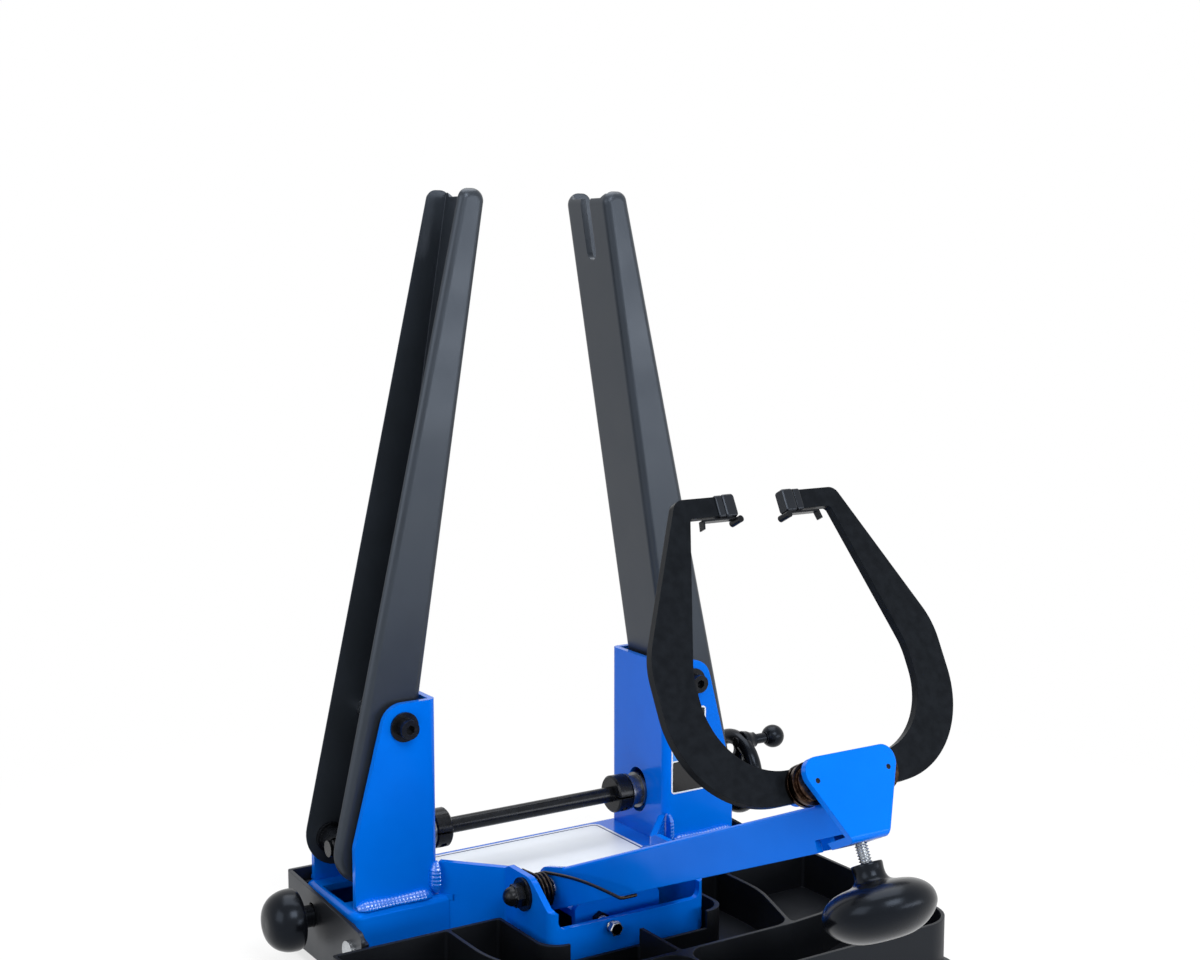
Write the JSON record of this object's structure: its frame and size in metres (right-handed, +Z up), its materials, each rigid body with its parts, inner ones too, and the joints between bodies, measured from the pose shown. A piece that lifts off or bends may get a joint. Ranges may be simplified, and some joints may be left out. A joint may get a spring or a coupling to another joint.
{
  "type": "bicycle wheel truing stand",
  "caption": "Bench stand that holds a bicycle wheel by its axle between two hinged uprights, with a hand cranked spreader screw and swinging rim calipers.",
  "frame": {"origin": "centre of the four bench bolts, on the bench top", "axes": "+Z up, +Y away from the mechanic, +X to the right, along the wheel axle"},
  "size_m": [0.4563, 0.4903, 0.5649],
  "materials": {
    "blue_paint": "gloss",
    "black_steel": "satin",
    "jaw_steel": "satin",
    "zinc": "brushed",
    "dark_fastener": "satin",
    "black_plastic": "gloss",
    "tray_plastic": "matte",
    "cap_plastic": "matte",
    "white_mat": "satin",
    "rubber": "matte",
    "spring_steel": "polished",
    "bronze": "satin"
  },
  "bodies": {
    "bench": {"bench_base": "black_steel", "rubber_feet": "rubber", "parts_tray": "tray_plastic", "tilt_pivot_pins": "zinc"},
    "stand": {"tilt_cradle": "black_steel", "left_tilt_stud": "dark_fastener", "right_tilt_bolt": "dark_fastener", "base_pan": "blue_paint", "front_yoke": "blue_paint", "left_pedestal": "blue_paint", "right_pedestal": "blue_paint", "weld_beads": "blue_paint", "deck_mat": "white_mat", "stop_tab": "blue_paint", "stop_screw": "zinc", "stop_nut": "zinc", "left_pivot_bolt": "dark_fastener", "right_pivot_bolt": "dark_fastener", "pivot_washers": "dark_fastener", "pivot_nuts": "dark_fastener", "pivot_spacers": "dark_fastener", "arm_pivot_bolt": "dark_fastener", "acorn_nut": "dark_fastener", "acorn_washer": "dark_fastener", "arm_spacers": "dark_fastener", "arm_spring": "spring_steel"},
    "left_upright": {"left_upright": "black_steel", "left_pivot_tube": "zinc"},
    "right_upright": {"right_upright": "black_steel", "right_pivot_tube": "zinc"},
    "left_trunnion": {"left_trunnion": "dark_fastener"},
    "right_trunnion": {"right_trunnion": "dark_fastener"},
    "thrust_bushings": {"left_thrust_bushing": "bronze", "right_thrust_bushing": "bronze"},
    "screw": {"spreader_screw": "dark_fastener", "left_collar": "dark_fastener", "right_collar": "dark_fastener", "crank_wheel": "black_plastic", "crank_stem": "black_plastic", "crank_cap_screw": "dark_fastener"},
    "crank_ball": {"crank_ball_knob": "black_plastic"},
    "arm": {"caliper_arm": "blue_paint", "arm_sleeve": "zinc", "head_bracket": "blue_paint", "head_nut": "dark_fastener", "jaw_pins": "dark_fastener", "spring_washers": "spring_steel"},
    "left_jaw": {"left_jaw": "jaw_steel", "left_tip": "cap_plastic", "left_tip_clip": "dark_fastener"},
    "right_jaw": {"right_jaw": "jaw_steel", "right_tip": "cap_plastic", "right_tip_clip": "dark_fastener"},
    "cam": {"jaw_cam": "zinc"},
    "knob": {"caliper_screw": "zinc", "caliper_knob": "black_plastic"},
    "tilt_knob": {"left_tilt_knob": "black_plastic"}
  },
  "joints": [
    {"name": "stand_tilt", "type": "hinge", "parent": "bench", "child": "stand", "pos_m": [0, 0.038, 0.036], "axis": [1, 0, 0], "range_deg": [-2, 4.5]},
    {"name": "right_upright_swing", "type": "hinge", "parent": "stand", "child": "right_upright", "pos_m": [0.1264, 0.1, 0.1834], "axis": [0, -1, 0], "range_deg": [-8.7, 3.2]},
    {"name": "left_upright_swing", "type": "hinge", "parent": "stand", "child": "left_upright", "pos_m": [-0.1264, 0.1, 0.1834], "axis": [0, 1, 0], "range_deg": [-8.7, 3.2]},
    {"name": "right_trunnion_turn", "type": "hinge", "parent": "right_upright", "child": "right_trunnion", "pos_m": [0.157, 0.1, 0.09], "axis": [0, 1, 0], "range_deg": [-8.7, 3.2]},
    {"name": "left_trunnion_turn", "type": "hinge", "parent": "left_upright", "child": "left_trunnion", "pos_m": [-0.157, 0.1, 0.09], "axis": [0, -1, 0], "range_deg": [-8.7, 3.2]},
    {"name": "screw_float", "type": "slide", "parent": "stand", "child": "thrust_bushings", "axis": [0, 0, 1], "range_m": [-0.0042, 0.0017]},
    {"name": "screw_turn", "type": "hinge", "parent": "thrust_bushings", "child": "screw", "pos_m": [0, 0.1, 0.09], "axis": [1, 0, 0], "continuous": true},
    {"name": "crank_ball_spin", "type": "hinge", "parent": "screw", "child": "crank_ball", "pos_m": [0.23, 0.09015, 0.11706], "axis": [1, 0, 0], "continuous": true},
    {"name": "arm_swing", "type": "hinge", "parent": "stand", "child": "arm", "pos_m": [0, -0.004, 0.068], "axis": [-1, 0, 0], "range_deg": [-15, 30], "deforming": ["arm_spring"]},
    {"name": "left_jaw_swing", "type": "hinge", "parent": "arm", "child": "left_jaw", "pos_m": [-0.027, -0.26273, 0.20645], "axis": [0, 0.891, -0.454], "range_deg": [-4, 5]},
    {"name": "right_jaw_swing", "type": "hinge", "parent": "arm", "child": "right_jaw", "pos_m": [0.027, -0.26273, 0.20645], "axis": [0, -0.891, 0.454], "range_deg": [-4, 5]},
    {"name": "cam_rise", "type": "slide", "parent": "arm", "child": "cam", "axis": [0, 0.454, 0.891], "range_m": [-0.0008, 0.001]},
    {"name": "caliper_screw_turn", "type": "hinge", "parent": "cam", "child": "knob", "pos_m": [0, -0.30394, 0.13879], "axis": [0, 0.454, 0.891], "continuous": true},
    {"name": "tilt_knob_spin", "type": "hinge", "parent": "stand", "child": "tilt_knob", "pos_m": [-0.193, 0.106, 0.04], "axis": [1, 0, 0], "continuous": true}
  ],
  "couplings": [
    {"joint": "left_upright_swing", "follows": "right_upright_swing", "ratio": 1},
    {"joint": "left_trunnion_turn", "follows": "right_upright_swing", "ratio": 1},
    {"joint": "right_trunnion_turn", "follows": "right_upright_swing", "ratio": 1},
    {"joint": "screw_float", "follows": "right_upright_swing", "m_per_rad": 0.026},
    {"joint": "screw_turn", "follows": "right_upright_swing", "ratio": 195.6},
    {"joint": "left_jaw_swing", "follows": "right_jaw_swing", "ratio": 1},
    {"joint": "cam_rise", "follows": "right_jaw_swing", "m_per_rad": 0.009},
    {"joint": "caliper_screw_turn", "follows": "right_jaw_swing", "ratio": 45.2}
  ]
}
